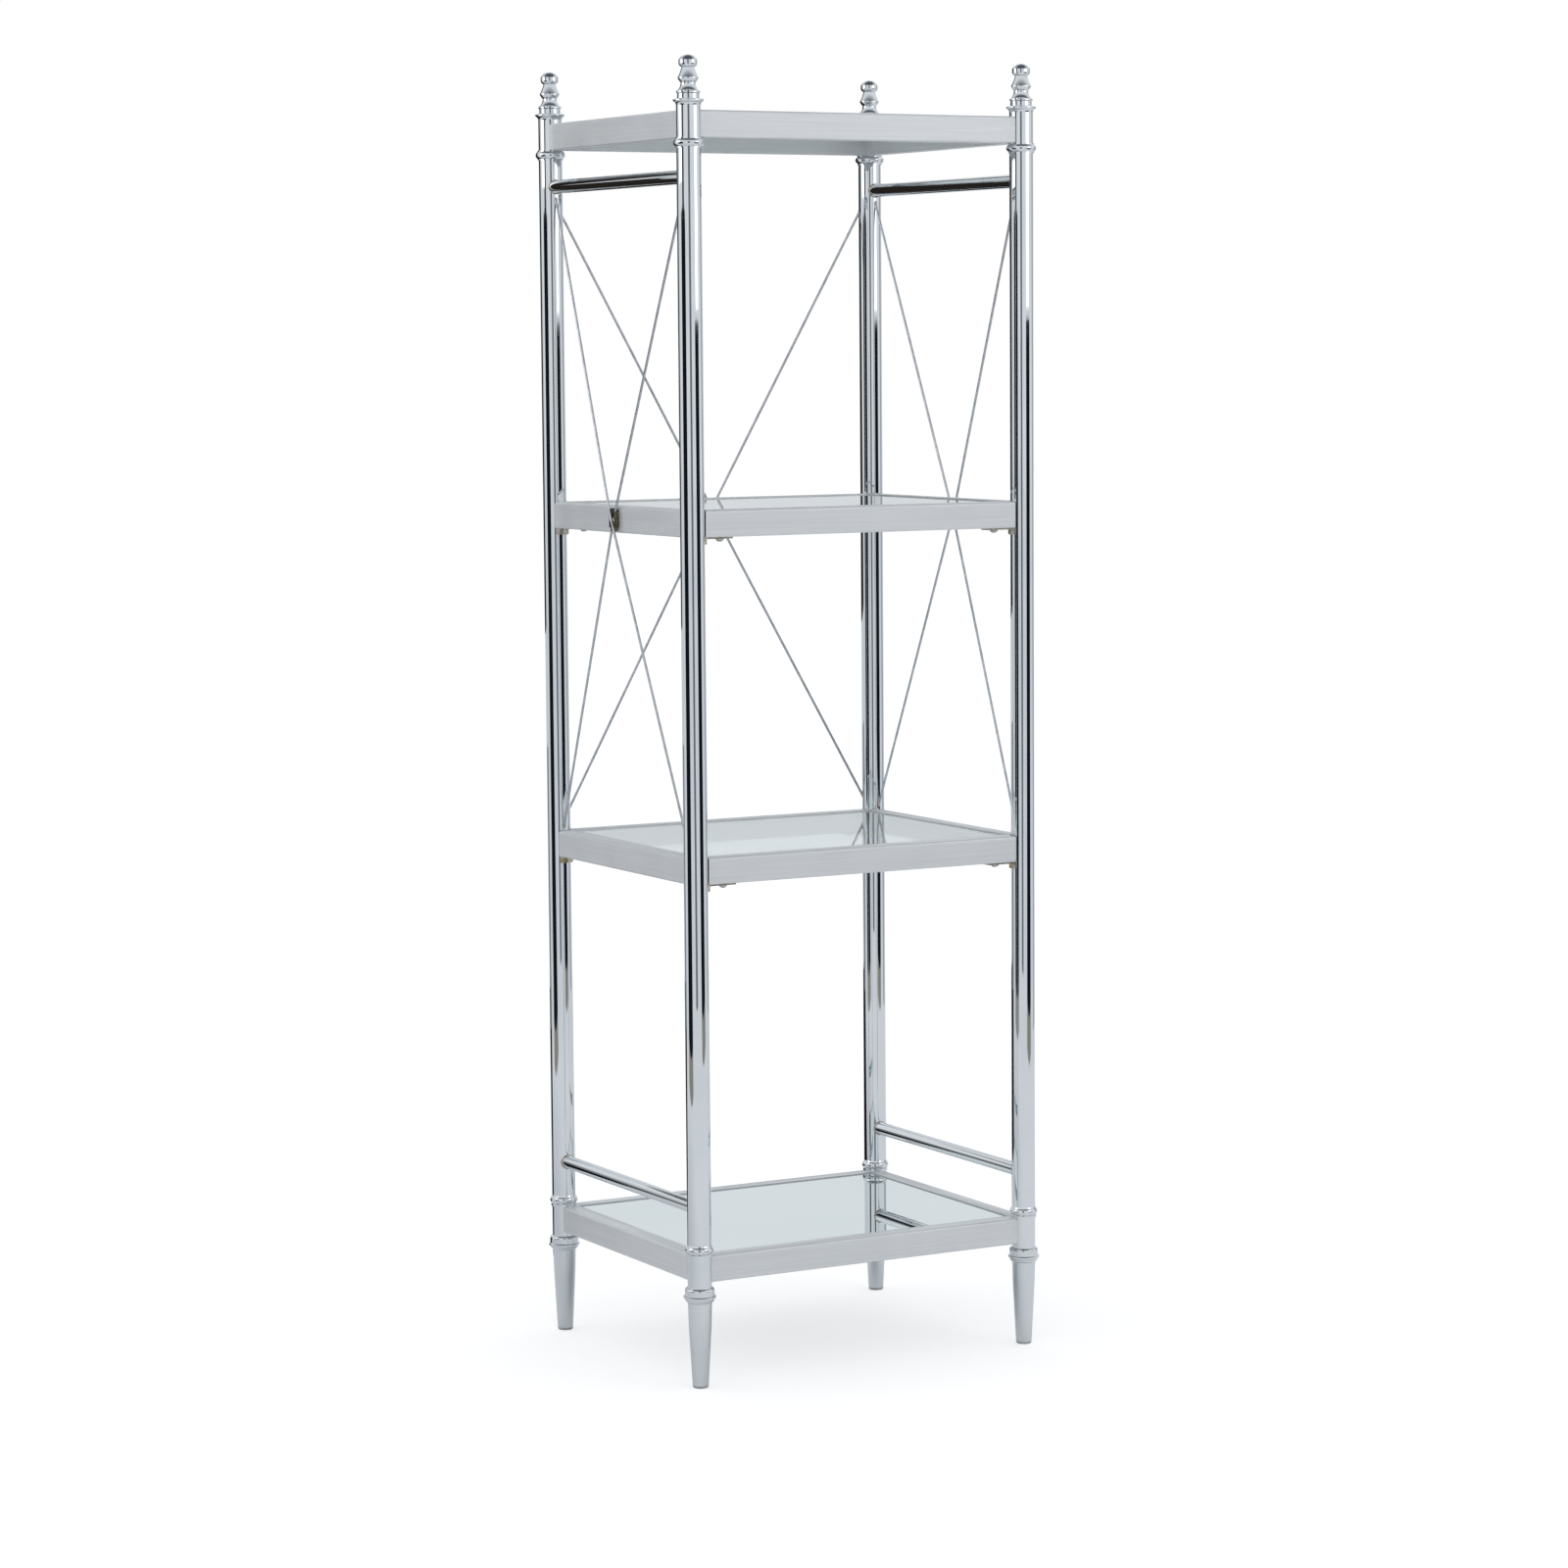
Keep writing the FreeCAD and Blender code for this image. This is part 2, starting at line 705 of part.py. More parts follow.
def make_brace(side, name, lean, cores):
    """Rod welded between two posts, bowed outward where it passes the frame; lean is +1 or -1."""
    along, outward, rise = rod_ends(side)
    bow = inner_bow if name == "inner" else outer_bow
    body = new_body(f"{side}_{name}_rod")
    path = new_sketch(body, "YZ_Plane", "path")
    bowed_path(path, outward, bow, hypotenuse(along, rise))
    section = new_sketch(body, "XY_Plane", "section")
    circle(section, 0, -bow, S.rod_dia / 2)
    half = body.newObject("PartDesign::AdditivePipe", f"{body.Name}_half")
    half.Profile = section
    half.Spine = (path, ["Edge1", "Edge2"])
    whole = body.newObject("PartDesign::Mirrored", f"{body.Name}_whole")
    whole.Originals = [half]
    whole.MirrorPlane = (origin_item(body, "XY_Plane"), [""])
    body.Tip = whole
    tilt = math.degrees(math.atan2(along.value, rise.value)) * lean
    place_on_side(body, side, 0, 0, cross_level, tilt)
    coped = doc.addObject("Part::Cut", f"{side}_brace_{name}")
    coped.Base = body
    coped.Tool = cores
    return coped


def clip_groove(body, name, side, lean, floor):
    """Straight groove for a rod across a clip, open outward from its floor."""
    along, _, rise = rod_ends(side)
    half_long = hypotenuse(along, rise)
    half_wide = S.rod_dia / 2 + S.clip_clear
    sketch = new_sketch(body, "XZ_Plane", name)
    drive(sketch, "AttachmentOffset.Base.z", floor)
    outline(sketch, [
        ((along * S.clip_tall * end * lean + rise * half_wide * edge) / half_long,
         (rise * S.clip_tall * end - along * half_wide * edge * lean) / half_long)
        for end, edge in ((-1, -1), (1, -1), (1, 1), (-1, 1))
    ])
    pocket(body, sketch, S.clip_deep, reverse=True)


def make_clip(side):
    """Round-ended boss on the frame, with a deep groove for the inner rod and a shallow one for the outer."""
    body = new_body(f"{side}_brace_clip")
    wide = S.clip_wide / 2
    tall = S.clip_tall / 2
    straight = tall - wide
    boss = new_sketch(body, "XZ_Plane", "outline")
    drive(boss, "AttachmentOffset.Base.z", S.frame_out)
    outline(boss, [
        (wide, straight),
        (0, tall, wide),
        (-wide, straight, wide),
        (-wide, -straight),
        (0, -tall, wide),
        (wide, -straight, wide),
    ])
    pad(body, boss, S.clip_deep)
    clip_groove(body, "inner_groove", side, 1, S.frame_out + S.clip_base)
    clip_groove(body, "outer_groove", side, -1, outer_bow - S.rod_dia / 2 - S.clip_clear)
    holes = new_sketch(body, "XZ_Plane", "screw_holes")
    for end in (-1, 1):
        circle(holes, S.clip_screw_at * end, 0, S.clip_screw_dia / 2)
    pocket(body, holes)
    place_on_side(body, side, 0, 0, cross_level)
    return body


def make_clip_screws(side):
    """Two screws through a clip, one each side of the crossing, into the frame."""
    body = new_body(f"{side}_clip_screws")
    shank = S.clip_screw_dia / 2
    tip = S.clip_screw_grip - S.frame_out
    top = -clip_outside - S.clip_head_tall
    sketch = new_sketch(body, "XY_Plane", "profile")
    outline(sketch, [
        (0, top),
        (S.clip_head_r / 2, top),
        (S.clip_head_r, top + S.clip_head_tall / 2),
        (S.clip_head_r, -clip_outside),
        (shank, -clip_outside),
        (shank, tip),
        (0, tip),
    ])
    repeat(body, revolve(body, sketch), S.clip_screw_at * 2)
    place_on_side(body, side, -S.clip_screw_at, 0, cross_level)
    return body


def make_bracket(level, corner):
    """Saddle on the inner side of a post, with a tab under the front or back rail."""
    sx, sy = CORNERS[corner]
    body = new_body(f"{level}_{corner}_bracket")
    tab = new_sketch(body, "XY_Plane", "tab")
    outline(tab, [
        (S.tab_root * -sx, S.tab_out * sy),
        (S.tab_long * -sx, S.tab_out * sy),
        (S.tab_long * -sx, S.tab_in * -sy),
        (S.tab_root * -sx, S.tab_in * -sy),
    ])
    pad(body, tab, S.tab_thick, downward=True)
    saddle_r = post_r + S.saddle_thick
    near = saddle_r * cosine(S.saddle_wrap)
    past = saddle_r * sine(S.saddle_wrap)
    saddle = new_sketch(body, "XY_Plane", "saddle")
    outline(saddle, [
        (0, 0),
        (near * -sx, past * sy),
        (past * sx, near * -sy, saddle_r * sx * sy),
    ])
    pad(body, saddle, S.saddle_tall, downward=True)
    cut = new_sketch(body, "XY_Plane", "post")
    circle(cut, 0, 0, post_r)
    pocket(body, cut)
    hole = new_sketch(body, "XY_Plane", "screw_hole")
    circle(hole, S.shelf_screw_at * -sx, S.shelf_screw_in * -sy, S.shelf_screw_dia / 2)
    pocket(body, hole)
    place_at_post(body, corner, level_of[level] - S.frame_tall)
    return body


def make_shelf_screws(level):
    """Round-headed screws up through the bracket tabs into the frame."""
    body = new_body(f"{level}_shelf_screws")
    shank = S.shelf_screw_dia / 2
    under = -S.tab_thick
    top = under - S.shelf_head_tall
    screw = turn_profile(body, [
        (0, top),
        (S.shelf_head_r / 2, top),
        (S.shelf_head_r * 0.85, top + S.shelf_head_tall / 3),
        (S.shelf_head_r, under - S.shelf_head_tall / 3),
        (S.shelf_head_r, under),
        (shank, under),
        (shank, S.shelf_screw_grip),
        (0, S.shelf_screw_grip),
    ])
    repeat(body, screw, (half_x - S.shelf_screw_at) * 2, (half_y - S.shelf_screw_in) * 2)
    place(body, S.shelf_screw_at - half_x, S.shelf_screw_in - half_y, level_of[level] - S.frame_tall)
    return body


def build():
    """Makes every piece and returns the ones to export."""
    pieces = [make_post(corner) for corner in CORNERS]
    pieces += [make_caps(), make_top_collars(), make_base_collars(), make_foot_collars(), make_glides()]
    pieces += [make_finial(corner) for corner in CORNERS]
    pieces += [make_foot(corner) for corner in CORNERS]
    for side in ("left", "right"):
        pieces.append(make_side_rail(side, "top", S.top_rail_level))
        pieces.append(make_side_rail(side, "low", S.low_rail_level))
    pieces += [make_apron(level, side) for level in LEVELS for side in SIDES]
    pieces.append(make_pane("top_pane", "top"))
    pieces.append(make_pane("upper_shelf_pane", "upper"))
    pieces.append(make_pane("lower_shelf_pane", "lower"))
    pieces.append(make_pane("base_mirror_pane", "base"))
    pieces.append(make_pads())
    cores = gather("post_cores", [make_core(corner) for corner in CORNERS])
    for side in ("left", "right", "back"):
        pieces += [make_brace(side, "inner", 1, cores), make_brace(side, "outer", -1, cores)]
        pieces += [make_clip(side), make_clip_screws(side)]
    for level in ("upper", "lower"):
        brackets = [make_bracket(level, corner) for corner in CORNERS]
        pieces.append(gather(f"{level}_shelf_brackets", brackets))
        pieces.append(make_shelf_screws(level))
    doc.recompute()
    return pieces


def check():
    """Stops if any object failed to build."""
    for item in doc.Objects:
        faults = [state for state in item.State if state in ("Invalid", "Error")]
        if faults:
            raise RuntimeError(f"{item.Label}: {faults}")
        if item.isDerivedFrom("Sketcher::SketchObject") and not item.FullyConstrained:
            raise RuntimeError(f"{item.Label}: sketch is not fully constrained")


def export(pieces):
    os.makedirs("parts", exist_ok=True)
    for piece in pieces:
        shape = piece.Shape
        if shape.isNull() or not shape.isValid():
            raise RuntimeError(f"{piece.Label}: bad shape")
        shape.exportStep(f"parts/{piece.Label}.step")
        box = shape.BoundBox
        print(f"{piece.Label}: {len(shape.Solids)} solid(s), {shape.Volume / 1000:.2f} cm3, "
              f"z {box.ZMin:.1f} to {box.ZMax:.1f}")


made = build()
check()
export(made)
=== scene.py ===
# %% [markdown]
# This lesson dresses a tall glass shelving unit: four chromed posts with turned finials and
# feet, four frames that hold glass panes, and thin crossed braces. The solids come from the
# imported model, so here we only give them their finishes, small details, light and a camera.

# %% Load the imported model
import json
import math

import bpy
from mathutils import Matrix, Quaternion, Vector


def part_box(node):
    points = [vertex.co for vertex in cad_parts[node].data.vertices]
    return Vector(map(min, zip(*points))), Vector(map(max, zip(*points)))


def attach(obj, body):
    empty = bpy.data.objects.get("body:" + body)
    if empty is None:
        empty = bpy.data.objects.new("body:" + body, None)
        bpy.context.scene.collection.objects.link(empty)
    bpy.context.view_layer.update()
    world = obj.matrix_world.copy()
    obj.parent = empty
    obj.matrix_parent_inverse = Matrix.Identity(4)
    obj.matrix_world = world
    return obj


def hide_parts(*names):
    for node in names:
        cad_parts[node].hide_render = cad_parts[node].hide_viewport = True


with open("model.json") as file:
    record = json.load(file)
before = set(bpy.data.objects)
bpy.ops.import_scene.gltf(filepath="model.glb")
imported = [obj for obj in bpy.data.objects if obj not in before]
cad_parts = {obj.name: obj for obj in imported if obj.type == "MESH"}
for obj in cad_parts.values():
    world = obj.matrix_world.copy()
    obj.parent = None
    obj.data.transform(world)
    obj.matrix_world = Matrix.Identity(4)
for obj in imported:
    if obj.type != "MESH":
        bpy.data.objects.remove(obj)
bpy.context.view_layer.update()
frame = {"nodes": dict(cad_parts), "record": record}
nodes = frame["nodes"]
scene = bpy.context.scene
scene.view_settings.view_transform = "Standard"

# %% [markdown]
# The photograph was taken from the left of the front with a long lens, at about four fifths of
# the unit's height. A long lens keeps the posts almost parallel. The camera is placed by its
# direction and distance from a point near the middle, so the numbers stay easy to read.

# %% Camera
CAMERA_AZIMUTH = math.radians(-29.07)
CAMERA_ELEVATION = math.radians(5.74)
CAMERA_ROLL = math.radians(-0.44)
CAMERA_DISTANCE = 5.26
CAMERA_AIM = Vector((-0.0048, 0.0024, 0.6741))
LENS_MM = 100.6
SENSOR_MM = 36
FARTHEST_SEEN = 100

toward_camera = Vector((
    math.sin(CAMERA_AZIMUTH) * math.cos(CAMERA_ELEVATION),
    -math.cos(CAMERA_AZIMUTH) * math.cos(CAMERA_ELEVATION),
    math.sin(CAMERA_ELEVATION),
))
camera_data = bpy.data.cameras.new("camera")
camera_data.lens = LENS_MM
camera_data.sensor_width = SENSOR_MM
camera_data.clip_end = FARTHEST_SEEN
camera = bpy.data.objects.new("camera", camera_data)
scene.collection.objects.link(camera)
camera.location = CAMERA_AIM + toward_camera * CAMERA_DISTANCE
camera.rotation_mode = "QUATERNION"
camera.rotation_quaternion = (
    toward_camera.to_track_quat("Z", "Y") @ Quaternion((0, 0, 1), CAMERA_ROLL)
)
scene.camera = camera
print("camera at", [round(v, 3) for v in camera.location])

# %% [markdown]
# Colours are easiest to read as the hex values of a paint program, but the renderer works in
# linear light. One function turns the first into the second. A second small function adds a
# shader node, sets its values and links its inputs, so each material reads as a short recipe.

# %% Helpers for colours and nodes
MM = 0.001
# Most of the noise lies between these values, and the rest is clamped to them.
NOISE_LOW, NOISE_HIGH = 0.3, 0.7
# A Mix node has several sockets called A and B; these are the numbers of its colour pair.
COLOUR_A, COLOUR_B = 6, 7


def linear(hex_colour, alpha=1.0):
    """An sRGB hex colour as linear red, green, blue and alpha."""
    parts = [int(hex_colour[k:k + 2], 16) / 255 for k in (1, 3, 5)]
    return (*[p / 12.92 if p <= 0.04045 else ((p + 0.055) / 1.055) ** 2.4 for p in parts], alpha)


def add(tree, kind, settings=None, inputs=None):
    """Adds a node. An input is a value, or (node, output name) to link from."""
    node = tree.nodes.new(kind)
    for name, value in (settings or {}).items():
        setattr(node, name, value)
    for name, value in (inputs or {}).items():
        if isinstance(value, tuple) and isinstance(value[0], bpy.types.Node):
            tree.links.new(value[0].outputs[value[1]], node.inputs[name])
        else:
            node.inputs[name].default_value = value
    return node


def new_material(name):
    """An empty node material and its tree."""
    material = bpy.data.materials.new(name)
    material.use_nodes = True
    material.node_tree.nodes.clear()
    return material, material.node_tree


def varied(tree, size_mm, low, high, stretch=(1, 1, 1), detail=3.0):
    """A noise of a given size in millimetres, mapped to run from low to high."""
    place = add(tree, "ShaderNodeTexCoord")
    scaled = add(tree, "ShaderNodeMapping", inputs={"Vector": (place, "Object"), "Scale": stretch})
    noise = add(tree, "ShaderNodeTexNoise", inputs={
        "Vector": (scaled, "Vector"),
        "Scale": 1 / (size_mm * MM),
        "Detail": detail,
    })
    return add(tree, "ShaderNodeMapRange", inputs={
        "Value": (noise, "Fac"),
        "From Min": NOISE_LOW,
        "From Max": NOISE_HIGH,
        "To Min": low,
        "To Max": high,
    })


print("white is", linear("#FFFFFF"), "and mid grey", [round(v, 3) for v in linear("#808080")])

# %% [markdown]
# The posts, finials, collars, feet and side rails are bright chrome plate: steel, polished,
# then plated. Chrome is a mirror that is a little darker and bluer than silver. A perfect
# mirror looks like a computer's, so the roughness wanders a little where hands have been, and
# a very low, wide ripple bends the reflections as real drawn tube does.

# %% Polished chrome plate
def polished_chrome():
    material, tree = new_material("chrome_plate_polished")
    smears = varied(tree, size_mm=22, low=0.015, high=0.04)
    ripple = varied(tree, size_mm=30, low=0.0, high=1.0, stretch=(1, 1, 0.25), detail=0.0)
    bump = add(tree, "ShaderNodeBump", inputs={
        "Strength": 0.06,
        "Distance": 0.05 * MM,
        "Height": (ripple, "Result"),
    })
    tone = varied(tree, size_mm=60, low=0.0, high=1.0)
    colour = add(tree, "ShaderNodeMix", {"data_type": "RGBA"}, {
        "Factor": (tone, "Result"),
        COLOUR_A: linear("#D3D8DC"),
        COLOUR_B: linear("#DADDE0"),
    })
    shader = add(tree, "ShaderNodeBsdfPrincipled", inputs={
        "Base Color": (colour, "Result"),
        "Metallic": 1.0,
        "Roughness": (smears, "Result"),
        "Normal": (bump, "Normal"),
    })
    add(tree, "ShaderNodeOutputMaterial", inputs={"Surface": (shader, "BSDF")})
    return material


print("recipe ready:", polished_chrome.__name__)

# %% [markdown]
# The frame rails are plated too, but over tube that was only drawn and wiped along its length,
# and a thin milky lacquer covers the plate. Fine lines run along the rail and spread each
# reflection up and down, which is what anisotropy in the shader does. The lacquer scatters
# about half of the light evenly, as paint does. So a rail shows an even, pale grey where a post
# shows stripes. Rails that run across and rails that run front to back each need the lines
# along their own way.

# %% Satin chrome on the frame rails
# Drawing lines are about 0.1 mm apart; 1.2 mm is the finest that shows in this picture.
DRAWN_LINE_MM = 1.2
# Along the rail the pattern is drawn out, so that a line is about 100 mm long.
DRAWN_OUT = 0.012


def satin_chrome(name, along):
    material, tree = new_material(name)
    stretch = (DRAWN_OUT, 1, 1) if along == "X" else (1, DRAWN_OUT, 1)
    lines = varied(tree, DRAWN_LINE_MM, low=0.38, high=0.5, stretch=stretch, detail=2.0)
    tone = varied(tree, size_mm=1.6, low=0.0, high=1.0, stretch=stretch, detail=2.0)
    haze = varied(tree, size_mm=35, low=0.42, high=0.56)
    tangent = add(tree, "ShaderNodeTangent", {"direction_type": "RADIAL", "axis": "Z"})
    colour = add(tree, "ShaderNodeMix", {"data_type": "RGBA"}, {
        "Factor": (tone, "Result"),
        COLOUR_A: linear("#D0D3D6"),
        COLOUR_B: linear("#D9DBDD"),
    })
    shader = add(tree, "ShaderNodeBsdfPrincipled", inputs={
        "Base Color": (colour, "Result"),
        "Metallic": (haze, "Result"),
        "Roughness": (lines, "Result"),
        "Anisotropic": 0.6,
        "Anisotropic Rotation": 0.25,
        "Tangent": (tangent, "Tangent"),
    })
    add(tree, "ShaderNodeOutputMaterial", inputs={"Surface": (shader, "BSDF")})
    return material


print("recipe ready:", satin_chrome.__name__)

# %% [markdown]
# The braces are drawn wire rod with a thin flash of plate, duller than the posts. The brackets
# and screws are pressed or cold-formed steel with a clear zinc flash, which goes straw-yellow
# in places. The bosses at the crossings and the welds have been hot, so they run from straw to
# dark brown. One recipe serves them all: a metal of two tones, mixed by a noise of a few
# millimetres.

# %% Rod, bracket, screw, boss and weld steel
STEEL_GRAIN_MM = 1.5
# How far the roughness wanders below and above the value that a finish asks for.
SMOOTHER, ROUGHER = 0.05, 0.06


def plated_steel(name, clean, dull, roughness, patch_mm):
    material, tree = new_material(name)
    patches = varied(tree, patch_mm, low=0.0, high=1.0)
    grain = varied(tree, STEEL_GRAIN_MM, low=roughness - SMOOTHER, high=roughness + ROUGHER)
    colour = add(tree, "ShaderNodeMix", {"data_type": "RGBA"}, {
        "Factor": (patches, "Result"),
        COLOUR_A: linear(clean),
        COLOUR_B: linear(dull),
    })
    shader = add(tree, "ShaderNodeBsdfPrincipled", inputs={
        "Base Color": (colour, "Result"),
        "Metallic": 1.0,
        "Roughness": (grain, "Result"),
    })
    add(tree, "ShaderNodeOutputMaterial", inputs={"Surface": (shader, "BSDF")})
    return material


print("recipe ready:", plated_steel.__name__)

# %% [markdown]
# The upper panes are clear float glass, 5 mm thick, with polished edges. Iron in the glass
# takes a little red and blue out of light that travels far inside it. So a pane looks clear
# through its face, and dark green along its edge. That colour belongs in the volume, where it
# grows with distance. Faint wipe marks make the surface a little uneven in gloss.

# %% Clear float glass
GLASS_IOR = 1.52
WIPE_MM, WIPE_STRETCH = 45, (1, 0.4, 1)


def float_glass():
    material, tree = new_material("float_glass_clear")
    wipes = varied(tree, WIPE_MM, low=0.0, high=0.03, stretch=WIPE_STRETCH)
    shader = add(tree, "ShaderNodeBsdfPrincipled", inputs={
        "Base Color": linear("#F4F8F8"),
        "Roughness": (wipes, "Result"),
        "IOR": GLASS_IOR,
        "Transmission Weight": 1.0,
    })
    green = add(tree, "ShaderNodeVolumeAbsorption", inputs={
        "Color": linear("#A9D6C4"),
        "Density": 9.0,
    })
    # Lamps shine straight through, so that the panes don't throw shadows like sheet metal.
    clear = add(tree, "ShaderNodeBsdfTransparent", inputs={"Color": linear("#EDF4F1")})
    ray = add(tree, "ShaderNodeLightPath")
    shown = add(tree, "ShaderNodeMixShader", inputs={
        "Fac": (ray, "Is Shadow Ray"),
        1: (shader, "BSDF"),
        2: (clear, "BSDF"),
    })
    add(tree, "ShaderNodeOutputMaterial", inputs={
        "Surface": (shown, "Shader"),
        "Volume": (green, "Volume"),
    })
    return material


print("recipe ready:", float_glass.__name__)

# %% [markdown]
# The base pane is silvered: it shows a full reflection of the back post and the low rail. The
# silver lies under the glass, but a mirror seen at this angle reads as one bright surface. The
# narrow edge still reads as green glass, so the normal's height picks silver on the flat faces
# and green on the edge.

# %% Silvered glass
# A face counts as flat when its normal points nearly straight up or down.
FLAT_FROM = 0.9


def silvered_glass():
    material, tree = new_material("float_glass_silvered")
    wipes = varied(tree, WIPE_MM, low=0.008, high=0.03, stretch=WIPE_STRETCH)
    tone = varied(tree, size_mm=180, low=0.0, high=1.0)
    colour = add(tree, "ShaderNodeMix", {"data_type": "RGBA"}, {
        "Factor": (tone, "Result"),
        COLOUR_A: linear("#E2EAEA"),
        COLOUR_B: linear("#E7EEEF"),
    })
    silver = add(tree, "ShaderNodeBsdfPrincipled", inputs={
        "Base Color": (colour, "Result"),
        "Metallic": 1.0,
        "Roughness": (wipes, "Result"),
    })
    edge = add(tree, "ShaderNodeBsdfPrincipled", inputs={
        "Base Color": linear("#4F766C"),
        "Roughness": 0.08,
        "IOR": GLASS_IOR,
    })
    shape = add(tree, "ShaderNodeNewGeometry")
    height = add(tree, "ShaderNodeSeparateXYZ", inputs={"Vector": (shape, "True Normal")})
    rise = add(tree, "ShaderNodeMath", {"operation": "ABSOLUTE"}, {0: (height, "Z")})
    flat = add(tree, "ShaderNodeMath", {"operation": "GREATER_THAN"}, {
        0: (rise, "Value"),
        1: FLAT_FROM,
    })
    shown = add(tree, "ShaderNodeMixShader", inputs={
        "Fac": (flat, "Value"),
        1: (edge, "BSDF"),
        2: (silver, "BSDF"),
    })
    add(tree, "ShaderNodeOutputMaterial", inputs={"Surface": (shown, "Shader")})
    return material


print("recipe ready:", silvered_glass.__name__)

# %% [markdown]
# Two small plastics are left. The pads under the panes are soft clear vinyl. The glides under
# the feet are moulded nylon, matt, with a fine grain from the mould.

# %% Vinyl pads and nylon glides
def clear_vinyl():
    material, tree = new_material("vinyl_clear_moulded")
    haze = varied(tree, size_mm=2, low=0.2, high=0.35)
    shader = add(tree, "ShaderNodeBsdfPrincipled", inputs={
        "Base Color": linear("#E6EBE9"),
        "Roughness": (haze, "Result"),
        "IOR": 1.5,
        "Transmission Weight": 0.8,
    })
    add(tree, "ShaderNodeOutputMaterial", inputs={"Surface": (shader, "BSDF")})
    return material


def moulded_nylon():
    material, tree = new_material("nylon_grey_moulded")
    grain = varied(tree, size_mm=0.8, low=0.42, high=0.6)
    bump = add(tree, "ShaderNodeBump", inputs={
        "Strength": 0.3,
        "Distance": 0.05 * MM,
        "Height": (grain, "Result"),
    })
    tone = varied(tree, size_mm=5, low=0.0, high=1.0)
    colour = add(tree, "ShaderNodeMix", {"data_type": "RGBA"}, {
        "Factor": (tone, "Result"),
        COLOUR_A: linear("#9B9D9E"),
        COLOUR_B: linear("#A6A8A8"),
    })
    shader = add(tree, "ShaderNodeBsdfPrincipled", inputs={
        "Base Color": (colour, "Result"),
        "Roughness": (grain, "Result"),
        "Normal": (bump, "Normal"),
    })
    add(tree, "ShaderNodeOutputMaterial", inputs={"Surface": (shader, "BSDF")})
    return material


print("recipes ready:", clear_vinyl.__name__, "and", moulded_nylon.__name__)

# %% [markdown]
# Each node in the record names a material slot. We make one finish for each slot and give it
# to every node of that slot. The frame rails take the satin finish that runs their own way,
# and the bosses at the crossings take the heat-browned steel.

# %% Give each node its finish
finishes = {
    "polished_chrome": polished_chrome(),
    "brace_rod": plated_steel("wire_rod_plated", "#C3C6CB", "#A4A8AE", roughness=0.2, patch_mm=9),
    "clip_steel": plated_steel("pressed_steel_zinc", "#D2D2CD", "#A48F66", roughness=0.3, patch_mm=12),
    "screw_steel": plated_steel("screw_steel_zinc", "#CDCECE", "#AAA8A2", roughness=0.25, patch_mm=3),
    "clear_glass": float_glass(),
    "silvered_glass": silvered_glass(),
    "clear_pad": clear_vinyl(),
    "nylon": moulded_nylon(),
}
satin_across = satin_chrome("chrome_plate_satin_across", "X")
satin_deep = satin_chrome("chrome_plate_satin_deep", "Y")
browned_boss = plated_steel("cast_steel_heat_browned", "#94866F", "#25211B", roughness=0.22, patch_mm=4)
weld_metal = plated_steel("weld_metal_straw", "#C9BFA8", "#8F7A58", roughness=0.22, patch_mm=4)

for part in frame["record"]["subparts"]:
    name, slot = part["node"], part["material_slot"]
    if slot == "satin_chrome":
        finish = satin_across if "_front_" in name or "_back_" in name else satin_deep
    elif name.endswith("_brace_clip"):
        finish = browned_boss
    else:
        finish = finishes[slot]
    mesh = nodes[name].data
    mesh.materials.clear()
    mesh.materials.append(finish)

# %% [markdown]
# The side rails are welded to the posts. A round tube that meets a round post leaves a joint
# line shaped like a saddle, and the weld is a small rippled bead along it. We walk round the
# joint line, and at each step set a ring of points whose radius swells and shrinks a little,
# as the pulses of a torch leave it.

# %% Helpers for weld beads
BEAD_SIDES = 8
BEAD_SWELL = 0.13


def middle(box):
    """The middle of a box that is given by two corners."""
    return (box[0] + box[1]) / 2


def around_ring(steps):
    """The angles of a ring of evenly spaced steps."""
    return [2 * math.pi * k / steps for k in range(steps)]


def add_bead(mesh_data, line, radius, ripples):
    """Adds a closed rippled tube along a closed line of points to (points, faces)."""
    points, faces = mesh_data
    count = len(line)
    first = len(points)
    heart = sum(line, Vector()) / count
    for k, spot in enumerate(line):
        ahead = (line[(k + 1) % count] - line[k - 1]).normalized()
        out = spot - heart
        out = (out - ahead * out.dot(ahead)).normalized()
        side = ahead.cross(out)
        size = radius * (1 + BEAD_SWELL * math.sin(2 * math.pi * ripples * k / count))
        for turn in around_ring(BEAD_SIDES):
            points.append(spot + (out * math.cos(turn) + side * math.sin(turn)) * size)
    for k in range(count):
        here = first + k * BEAD_SIDES
        there = first + (k + 1) % count * BEAD_SIDES
        for j in range(BEAD_SIDES):
            across = (j + 1) % BEAD_SIDES
            faces.append((here + j, here + across, there + across, there + j))


def new_piece(name, mesh_data, material):
    """A smooth-shaded piece that rides on the frame."""
    mesh = bpy.data.meshes.new(name)
    mesh.from_pydata(mesh_data[0], [], mesh_data[1])
    mesh.materials.append(material)
    mesh.shade_smooth()
    piece = bpy.data.objects.new(name, mesh)
    scene.collection.objects.link(piece)
    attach(piece, "frame")
    return piece


print("a bead has", BEAD_SIDES, "sides and swells by", BEAD_SWELL, "of its radius")

# %% [markdown]
# Now the four rails. Both tubes' radii come from the boxes of the solids. At each step round
# the rail we know how far the point lies from the post's axis across the rail, and the post's
# circle then says how far along the rail its surface is.

